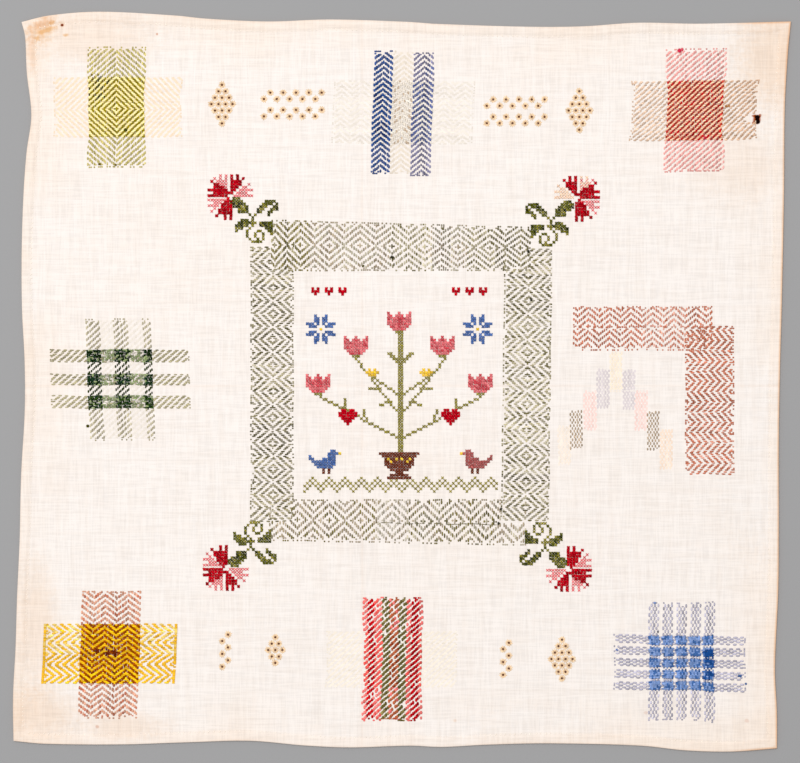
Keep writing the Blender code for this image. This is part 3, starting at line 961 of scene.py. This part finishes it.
cornerSampleDown = {
    "name": "corner sample down", "middle": (157.6, -10.8), "pitch": (0.82, 0.877),
    "figure": ("turned", 0, 6),
    "strips": (
        ("level", -11.2, 12.2, -37.0, 39.4, "redBrown", "cornerRed", 1.02, {
            **plump, "stretch": 0.04, "stripes": (
                (-4.0, "redBrown redBrown redBrownPale", "cornerRed"),
                (40.0, "redBrown", "cornerRed"))}),
    ),
}
yellowZigzagSample = {
    "name": "yellow zigzag sample", "middle": (-149.9, -140.2), "pitch": (0.985, 0.745),
    "lean": 0.035, "figure": ("peaks", 6, 0, -4, 0),
    "strips": (
        ("upright", -15.4, 15.0, -32.1, 31.7, "mauveBrown mauveBrown mauveBrown redBrown",
         "darkBrown", 1.10, plump),
        ("level", -33.4, 32.2, -15.1, 15.7, "yellow", "yellowDeep", 1.34, {
            **plump, "figure": ("turned", 0, 7.5), "turns": 0.9, "turnLong": 1.6, "stripes": (
                (0.0, "yellow", "yellowDeep"), (20.0, "yellowPale yellow", "yellowDeep"))}),
    ),
    "marks": (
        (-7.0, 1.8, 1.5, "wornBrown", "both"), (-3.0, 1.6, 2.4, "wornBrown", "upright"),
        (-1.2, 1.2, 1.2, "wornBrown", "level"), (2.2, 0.8, 2.0, "wornBrown", "both"),
    ),
}
stripedSample = {
    "name": "striped sample", "middle": (-5.0, -142.7), "pitch": (0.81, 0.72),
    "lean": 0.012, "figure": ("twill", 0, 0), "lengths": 0.05, "pinch": 0.05,
    "strips": (
        ("upright", -15.6, 15.7, -30.9, 31.0, "pink", "pink", 1.54, {
            **full, "flecks": ((0.07, "bare", "all"),), "stripes": (
                # up to here across, dye, dye where the cream strip crosses
                (-13.2, "pink", "pinkDeep"),
                (-9.6, "crimson crimson crimsonDark", "crimson crimsonDark"),
                (-5.9, "pink pink pinkDeep", "pinkDeep"),
                (-1.9, "leafGreen leafGreen leafGrey", "leafGreen"),
                (3.0, "terracotta terracotta pink", "terracotta terracottaDark"),
                (7.0, "leafGreen leafGreen leafGrey", "leafGreen"),
                (9.4, "pink pink pinkDeep", "pinkDeep"),
                (13.3, "crimson crimson crimsonDark", "crimson crimsonDark"),
                (16.0, "pink", "pinkDeep"),
            )}),
        ("level", -34.8, 33.9, -14.1, 14.1, "creamArm", "cream", 1.15, {
            **pale, "crossStretch": 0.35}),
    ),
}
blueCheckSample = {
    "name": "blue check sample", "middle": (141.0, -144.2), "pitch": (0.90, 0.866),
    "pinch": 0.045, "waist": 0.045, "tilt": -0.018, "figure": ("birdsEye", 0, 0), "lengths": 0.05,
    "patches": ((154.9, 161.5, -153.4, -136.0, "blueDeep blueInk blueInk blueInk skyBlue"),),
    "strips": tuple(
        ("upright", 0.90 * (8 * bar - 16), 0.90 * (8 * bar - 10), -30.4, 31.2,
         "lavender", "blue blueDeep blueDeep" if bar > 1 else "blue blueDeep skyBlue",
         1.08, {**plump, "crossStretch": 0.7})
        for bar in range(5)
    ) + tuple(
        ("level", -32.7, 36.2, 0.866 * (7 * bar - 17), 0.866 * (7 * bar - 12),
         "lavenderLevel", "skyBlue blue blue blueDeep", 1.18, {
             **full, "figure": ("birdsEyeLevel", 0, 0), "vary": 0.8, "crossStretch": 0.7})
        for bar in range(5)
    ),
}
bandTop = {
    "name": "band top", "middle": (11.3, 69.0), "pitch": (1.06, 0.80), "tilt": -0.013,
    "taper": -0.0012, "ease": 1.27e-5, "figure": ("diamond", 8, 0), "lengths": 0.09,
    "strips": (
        ("upright", -87.0, 57.0, -11.2, 11.2, "bandGreen bandGreen bandGrey",
         "bandGreen", 0.87, {**thin, "stripes": (
             (-61.0, "bandGreen bandOlive", "bandGreen"),
             (-18.4, "bandBrown bandGrey", "bandGreen"),
             (1.7, "bandGreen bandGreen bandDark bandGrey", "bandGreen"),
             (21.8, "bandBrown bandGrey", "bandGreen"),
             (60.0, "bandGreen bandGreen bandDark", "bandGreen"))}),
    ),
    # where the bands cross at the corners, the one on top hides the other
    "patches": (
        (-67.0, -55.6, 58.0, 69.6, "bandDark bandDark bandOlive bandGreen"),
        (53.8, 66.0, 58.0, 68.8, "bandDark bandGreen bandGreen"),
    ),
}
bandLeft = {
    "name": "band left", "middle": (-66.9, 48.0), "pitch": (0.93, 0.832),
    "figure": ("diamond", 0, 8), "turns": 0.5, "lengths": 0.08,
    "strips": (
        ("level", -10.2, 10.2, -120.1, 21.7, "bandGreen bandGreen bandGrey bandDark",
         "bandGreen", 0.97, {**plump, "stretch": 0.02}),
    ),
    "skip": ((-67.0, -55.6, 58.2, 70.0),),
}
bandRight = {
    "name": "band right", "middle": (64.4, 41.3), "pitch": (0.92, 0.83), "lean": 0.013,
    "figure": ("diamond", 0, 8), "turns": 0.5, "lengths": 0.08,
    "strips": (
        ("level", -11.3, 11.6, -112.8, 27.4, "bandGreen bandGrey bandGrey bandDark",
         "bandGreen", 1.02, {**plump, "stretch": 0.02}),
    ),
    "skip": ((52.0, 66.0, 58.2, 69.4),),
}
bandBottom = {
    "name": "band bottom", "middle": (-38.1, -71.7), "pitch": (1.01, 0.95), "tilt": -0.008,
    "taper": 0.0010, "figure": ("diamond", 8, 0), "lengths": 0.08,
    "strips": (
        ("upright", -29.8, 101.7, -9.8, 10.2, "bandGreen", "bandGreen", 0.86, {
            **thin, "stripes": (
                (24.0, "bandBrown bandBrown bandOlive", "bandGreen"),
                (41.0, "bandFaint bandGrey bandFaint bandBrown", "bandGreen"),
                (88.4, "bandOlive bandDark bandGrey bandBrown", "bandGreen"),
                (103.0, "bandBrown bandGrey", "bandGreen"))}),
    ),
    "skip": ((-67.4, -57.0, -72.3, -60.6), (50.6, 63.3, -72.3, -60.6)),
}
darnedSamples = {
    "darning_top_row": (diamondSample, blueStripeSample, pinkAndBeigeSample),
    "darning_middle_row": (greenCheckSample, cornerSampleAcross, cornerSampleDown),
    "darning_bottom_row": (yellowZigzagSample, stripedSample, blueCheckSample),
    "darned_band": (bandTop, bandLeft, bandRight, bandBottom),
}
# Thin threads that run loose along the middle of the bottom band and under the striped sample
looseThread = {
    "float": 1.5, "wide": 0.34, "wideUneven": (0.7, 1.2), "rise": 0.24, "lift": 0.12,
    "curl": (0.25, 2.3), "shown": 0.85, "rows": (
        # piece, from x, y, to x, y, dyes
        ("darned_band", -14.0, -72.6, 49.8, -73.4, "bandDark inkOlive bandOlive"),
        ("darning_bottom_row", -12.4, -173.4, -1.1, -173.6, "crimson terracotta"),
    ),
}
knot = {"threads": 5, "wide": 0.75, "rise": 0.5, "shade": 0.1, "lift": 0.1}
# Knots and loose ends of thread
knots = (
    # x, y, half a thread's length, dye
    (-142.2, 129.3, 1.0, "inkOlive"), (-155.6, 111.8, 0.7, "oliveDark"),
    (-147.3, 111.5, 0.6, "oliveDark"), (-161.6, -22.8, 0.8, "inkOlive"),
    (142.6, 170.2, 1.1, "knotPink"), (143.9, 170.8, 0.8, "knotPink"),
    (155.5, 125.4, 0.9, "knotPink"), (166.6, 141.6, 0.7, "rustBrown"), (168.0, 141.7, 0.6, "rustBrown"),
    (-5.2, 64.0, 0.9, "inkBlack"), (-20.1, 59.5, 0.7, "bandDark"), (21.0, 78.6, 0.7, "bandDark"),
    (64.9, 66.9, 0.8, "inkBlack"), (64.9, 65.0, 0.6, "bandDark"), (66.3, 42.2, 0.8, "inkBlack"),
    (50.8, -65.5, 0.8, "inkBlack"), (49.6, -72.8, 0.7, "inkBlack"),
    (129.9, -113.7, 0.6, "blue"), (110.4, -137.8, 0.6, "blueDeep"),
    (173.6, -151.2, 1.0, "blueDeep"), (176.7, -155.3, 0.6, "blueDeep"),
    (131.5, -128.6, 0.4, "inkBlack"), (4.5, 145.3, 0.4, "fleckBrown"),
    (4.0, 126.8, 0.4, "fleckBrown"),
)
# Nine small blocks of darning, set like steps up and down
stepBlocks = {
    "wide": 6.3, "tall": 19.8, "pitch": (0.82, 0.72), "rows": (
        # left edge, top edge, dye
        (106.8, 15.3, "creamPale"), (100.1, 6.5, "blueGrey"), (113.4, 6.0, "blueGrey"),
        (93.4, -4.8, "pinkPale"), (119.6, -4.8, "pinkPale"), (86.2, -14.5, "darkOliveGrey"),
        (125.8, -15.0, "darkOliveGrey"), (80.1, -22.7, "peachFaint"), (132.5, -24.8, "peachPale"),
    ),
}


def layThreads(stitches, piece):
    chance = random.Random("loose")
    wide, rise = looseThread["wide"], looseThread["rise"]
    for name, x, y, toX, toY, used in looseThread["rows"]:
        steps = int((toX - x) / looseThread["float"])
        curl, slow = looseThread["curl"]
        ends = [
            (x + (toX - x) * step / steps, y + (toY - y) * step / steps + curl * math.sin(step / slow))
            for step in range(steps + 1)
        ]
        for near, far in zip(ends, ends[1:]):
            if name == piece and chance.random() < looseThread["shown"]:
                thread, dye = wide * chance.uniform(*looseThread["wideUneven"]), oneDye(used, chance)
                stitches.add(near, far, thread, rise, dye, lift=looseThread["lift"])


def darnSteps(stitches):
    for left, top, dye in stepBlocks["rows"]:
        spread, lies = (0.95, thin) if dye == "darkOliveGrey" else (1.2, solid)
        darnSample(stitches, {
            "name": f"step {left}", "middle": (left, top), "pitch": stepBlocks["pitch"],
            "figure": ("birdsEye", 0, 0), "turns": 0.0,
            "strips": (
                ("upright", 0, stepBlocks["wide"], -stepBlocks["tall"], 0, dye, dye, spread, lies),
            ),
        })


def makeDarning():
    material = yarnFinish("darning_thread", 0.78)
    for name, samples in darnedSamples.items():
        stitches = Stitches()
        for sample in samples:
            darnSample(stitches, sample)
        if name == "darning_middle_row":
            darnSteps(stitches)
        layThreads(stitches, name)
        stitches.sew(name, material)


def makeKnots():
    stitches = Stitches()
    chance = random.Random("knots")
    for x, y, size, dye in knots:
        for _ in range(knot["threads"]):
            turn = chance.uniform(0, math.tau)
            dx, dy = size * math.cos(turn), size * math.sin(turn)
            shade = chance.gauss(1, knot["shade"])
            stitches.add(
                (x - dx, y - dy), (x + dx, y + dy), knot["wide"] * size, knot["rise"], dye, shade,
                knot["lift"],
            )
    stitches.sew("knots", yarnFinish("knot_thread", 0.8))


# Cross stitch: two legs over a square of the linen's threads, the second leg on top
crossWork = {
    "cell": 1.39, "wide": 0.84, "rise": 0.26, "over": 0.12,
    "reach": 0.45, "uneven": 0.05, "shift": 0.04, "shade": 0.07, "wideUneven": (0.85, 1.1),
    # how wide the thread of a dye is drawn
    "dyeWide": {
        "flowerPink": 0.56, "flowerFaded": 0.5, "flowerRed": 1.22, "flowerDark": 1.22,
        "leafOlive": 1.05, "leafDark": 1.05, "leafYellow": 0.85, "stemOlive": 0.8, "baseOlive": 0.7,
    },
}


def crossAt(stitches, x, y, cell, dyeUnder, dyeOver, chance):
    half, loose = cell * crossWork["reach"], crossWork["uneven"]
    for turn, dye, lift in ((1, dyeUnder, 0), (-1, dyeOver, crossWork["over"])):
        dx, dy = half + chance.gauss(0, loose), half + chance.gauss(0, loose)
        wide = crossWork["wide"] * crossWork["dyeWide"].get(dye, 1)
        stitches.add(
            (x - dx, y - turn * dy), (x + dx, y + turn * dy),
            wide * chance.uniform(*crossWork["wideUneven"]), crossWork["rise"], dye,
            chance.gauss(1, crossWork["shade"]), lift,
        )


# cells is a list of column, row and dye, counted from a place on the cloth, mirrored by signs
def crossCells(stitches, cells, place, chance, swap, signs=(1, 1), cell=crossWork["cell"]):
    for column, row, dye in cells:
        x = place[0] + signs[0] * (column + 0.5) * cell + chance.gauss(0, crossWork["shift"])
        y = place[1] + signs[1] * (row + 0.5) * cell + chance.gauss(0, crossWork["shift"])
        used = swap.get(dye, dye).split()
        crossAt(stitches, x, y, cell, chance.choice(used), chance.choice(used), chance)


# a chart is read from its top row down, so its last row is at the height low
def chartCells(chart, left, low, letters, flip=False):
    cells = []
    for down, line in enumerate(chart):
        line = line[::-1] if flip else line
        row = low + len(chart) - 1 - down
        cells += [(left + at, row, letters[mark]) for at, mark in enumerate(line) if mark in letters]
    return cells


petalChart = (
    "x.x..",
    "x.x.x",
    "xxxx.",
    "xxxx.",
    "xxx..",
    "xx...",
    "x....",
)
# the petal that stands beside the leaf is a little broader
broadChart = (
    "x.x...",
    "x.x..x",
    "xxxxx.",
    "xxxxx.",
    "xxxx..",
    "xxxx..",
    "xxx...",
    ".x....",
)
leafChart = (
    ".ggg...............",
    "gggyg........gggg..",
    "ggyggg......gggg.g.",
    ".gggygg....gyg..gg.",
    "...gygg...gyg..ggg.",
    "...gggg...gg..gg...",
    ".......y.y....g....",
    "........y..........",
    "....ggg.y..........",
    "...gggygyy.ggggg...",
    "..gggyg.y..ggggg...",
    "..ggg..y.....ggg...",
    "..g...y...yy..gg...",
    "......y..y..y..g...",
    "......y..y..y......",
    ".......y..y.y......",
    "........yyyy.......",
)
flowerCell = 1.468
sprigs = (
    # the flower's middle x, y, the leaves' shift x, y, mirrored across, up, side, top, low petals
    (-88.3, 94.9, -0.4, 0.0, 1, 1, "flowerPink", "flowerPink", "flowerPink"),
    (89.9, 94.0, -1.5, -0.8, -1, 1, "flowerFaded", "flowerPink flowerFaded", "flowerPink"),
    (-90.7, -95.7, 1.1, 0.4, 1, -1, "flowerPink", "flowerPink", "flowerPink"),
    (85.7, -96.2, -0.4, 0.4, -1, -1, "flowerPink", "flowerPink", "flowerPink"),
)


# Six petals, laid round by turning and mirroring the charts, with a gap up the middle
def flowerCells():
    petal = [(column, row) for column, row, _ in chartCells(petalChart, 0, 1, {"x": "x"})]
    broad = [(column, row) for column, row, _ in chartCells(broadChart, 0, 0, {"x": "x"})]
    # a slim petal leaves out one slanting line of crosses
    slim = [(column, row) for column, row in petal if not (column == row - 1 and row > 1)]
    laid = {}
    for cells, dye, turn in (
        (petal, "red", lambda c, r: (c, r)), (petal, "side", lambda c, r: (r, c)),
        (broad, "red", lambda c, r: (-1 - r, c)), (slim, "top", lambda c, r: (-2 - c, r)),
        (broad, "red", lambda c, r: (-0.3 - c, -1 - r)), (slim, "low", lambda c, r: (-1 - r, -1.5 - c)),
    ):
        for column, row in cells:
            laid.setdefault(turn(column, row), dye)
    return [(column, row, dye) for (column, row), dye in laid.items()]


def makeSprigs():
    stitches = Stitches()
    leaf = chartCells(leafChart, 0, -len(leafChart), {"g": "green", "y": "gold"})
    for x, y, shiftX, shiftY, across, upward, side, top, low in sprigs:
        chance = random.Random(f"sprig {x}")
        swap = {
            "red": "flowerRed flowerRed flowerRed flowerDark", "side": side, "top": top, "low": low,
            "green": "leafOlive leafOlive leafDark leafYellow",
            "gold": "leafYellow leafYellow leafOlive",
        }
        signs = (across, upward)
        crossCells(stitches, flowerCells(), (x, y), chance, swap, signs, flowerCell)
        crossCells(stitches, leaf, (x + shiftX, y + shiftY), chance, swap, signs)
    stitches.sew("corner_sprigs", yarnFinish("sprig_thread", 0.8))


# The middle of the cloth: a pot of tulips between two birds, in counted cross stitch
tulipChart = (
    "p...p...p",
    "pp.ppp.pp",
    "ppppppppp",
    "ppppppppp",
    "ppppppppp",
    ".ppppppp.",
    "..ppppp..",
    "...ggg...",
)
starChart = (
    "...b...b...",
    "...bb.bb...",
    "...bb.bb...",
    "bbb.b.b.bbb",
    ".bbb...bbb.",
    ".....y.....",
    ".bbb...bbb.",
    "bbb.b.b.bbb",
    "...bb.bb...",
    "...bb.bb...",
    "...b...b...",
)
birdChart = (
    "........bb..",
    ".......bbbby",
    "b......bbb..",
    "bb...bbbbb..",
    ".bbbbbbbbb..",
    "..bbbbbbbb..",
    "...bbbbbb...",
    ".....n.n....",
    ".....n.n....",
)
heartChart = (
    ".rr.rr.",
    "rrrrrrr",
    "rrrrrrr",
    ".rrrrr.",
    "..rrr..",
    "...r...",
)
smallHeartChart = (
    "r.r",
    "rrr",
    ".r.",
)
potChart = (
    "nnnnnnnnnnnnnnn",
    ".nnnnnnnnnnnnn.",
    "..nynnynynnyn..",
    "..nnynnnnnynn..",
    "..nnnnnnnnnnn..",
    "...nnnnnnnnn...",
    "....nnnnnnn....",
    "......nnn......",
    "....nnnnnnn....",
    "...nnnnnnnnn...",
)
budChart = (
    ".y.y.",
    "yyyyy",
    ".yyy.",
    "..g..",
)
centreDesign = {
    "middle": (-0.8, -1.5),
    "charts": (
        # chart, left column, lowest row, mirrored too or only flipped, change of dye
        (tulipChart, -5, 19, False, {}),
        (tulipChart, -21, 10, True, {}),
        (tulipChart, -35, -4, True, {}),
        (starChart, -35, 15, True, {}),
        (budChart, -13, 2, True, {}),
        (birdChart, -34, -33, False, {}),
        (birdChart, 22, -33, "flip", {"b": "motifMauve"}),
        (heartChart, -23, -15, True, {}),
        (smallHeartChart, -33, 33, True, {}),
        (smallHeartChart, -28, 33, True, {}),
        (smallHeartChart, -23, 33, True, {}),
        (potChart, -8, -35, False, {}),
    ),
    "stems": (
        # from column, row, to column, row, mirrored too
        (-1, -26, -1, 18, True),
        (-2, -10, -17, 9, True),
        (-2, -20, -30, -5, True),
        (-2, -4, -10, 2, True),
        (-5, -7, -8, -8, True), (-9, -2, -12, -2, True), (-13, -14, -14, -10, True),
        (-21, -10, -21, -6, True), (-2, 8, -5, 11, True), (-2, 9, -4, 11, True),
    ),
    "base": (-36, 35, -38),
}
motifDyes = {
    "p": "pinkMotif", "g": "stem", "b": "motifBlue", "y": "motifYellow", "n": "motifBrown",
    "r": "flowerRed",
}


def lineCells(column, row, toColumn, toRow, dye):
    steps = max(abs(toColumn - column), abs(toRow - row), 1)
    return [
        (round(column + (toColumn - column) * step / steps), round(row + (toRow - row) * step / steps), dye)
        for step in range(steps + 1)
    ]


def makeCentreDesign():
    chance = random.Random("centre")
    cells = []
    for chart, left, low, mirrored, change in centreDesign["charts"]:
        letters = {**motifDyes, **change}
        cells += chartCells(chart, left, low, letters, flip=mirrored == "flip")
        if mirrored is True:
            wide = len(chart[0])
            cells += chartCells(chart, -left - wide - 1, low, letters, flip=True)
    for column, row, toColumn, toRow, mirrored in centreDesign["stems"]:
        cells += lineCells(column, row, toColumn, toRow, "stem")
        if mirrored:
            cells += lineCells(-1 - column, row, -1 - toColumn, toRow, "stem")
    start, end, low = centreDesign["base"]
    for column in range(start, end + 1):
        cells.append((column, low + folded(column, 3), "baseGreen"))
        cells.append((column, low - 2 + folded(column, 3), "baseGreen"))
    drawn = {}
    for column, row, dye in cells:
        drawn.setdefault((column, row), dye)
    swap = {
        "pinkMotif": "motifPink motifPink motifRose",
        "stem": "stemOlive stemOlive leafYellow", "baseGreen": "baseOlive stemOlive",
    }
    stitches = Stitches()
    cells = [(column, row, dye) for (column, row), dye in drawn.items()]
    crossCells(stitches, cells, centreDesign["middle"], chance, swap)
    stitches.sew("centre_design", yarnFinish("centre_thread", 0.8))


def makeEyelets(places):
    stitches = Stitches()
    chance = random.Random("eyelets")
    for x, y in places:
        first = chance.uniform(0, 1)
        for spoke in range(eyelet["spokes"]):
            turn = (spoke + first) / eyelet["spokes"] * math.tau
            far = eyelet["reach"] * chance.uniform(*eyelet["reachUneven"])
            near, ring = eyelet["hole"] * eyelet["spokeStart"], eyelet["ring"]
            # the inner part of each spoke is dark brown: painted shade round the hole, partly the thread's
            # browner colour there
            for start, end, dye in ((near, ring, "holeShadeBrown"), (ring, far, "tan")):
                stitches.add(
                    (x + start * math.cos(turn), y + start * math.sin(turn)),
                    (x + end * math.cos(turn), y + end * math.sin(turn)),
                    eyelet["wide"] * min(1.0, end), eyelet["rise"], dye,
                    chance.gauss(1, eyelet["shade"]),
                )
    stitches.sew("eyelet_stitches", yarnFinish("eyelet_thread", 0.75))


# Hemming: small slanting stitches that catch the turned edge down
hemming = {
    "pitch": 2.6, "inward": 4.9, "long": 1.1, "wide": 0.34, "rise": 0.16, "lift": 0.06, "corner": 8,
    "uneven": 0.2, "shade": 0.02,
    "ends": ((-0.35, -0.4), (0.35, 0.55)),  # millimetres along the hem, share of its length inward
}


def makeHemming():
    stitches = Stitches()
    chance = random.Random("hem")
    corner, pitch, loose = hemming["corner"], hemming["pitch"], hemming["uneven"]
    for edge, length, other in (("u", clothWide, clothTall), ("v", clothTall, clothWide)):
        for step in range(round((length - 2 * corner) / pitch)):
            at = (corner + (step + chance.uniform(-loose, loose)) * pitch) / length
            for side in (0, 1):
                ends = []
                for shift, inward in hemming["ends"]:
                    along = at + shift / length
                    share = (hemming["inward"] + inward * hemming["long"]) / other
                    share = 1 - share if side else share
                    spot = onCloth(along, share) if edge == "u" else onCloth(share, along)
                    ends.append((spot.x, spot.y))
                shade = chance.gauss(1, hemming["shade"])
                stitches.add(
                    *ends, hemming["wide"], hemming["rise"], "hemThread", shade, hemming["lift"],
                )
    stitches.sew("hem_stitches", yarnFinish("hem_thread", 0.85))


makeStudio()
holes = eyeletPlaces()
makeLinen(holes)
makeDarning()
makeSprigs()
makeCentreDesign()
makeKnots()
makeEyelets(holes)
makeHemming()
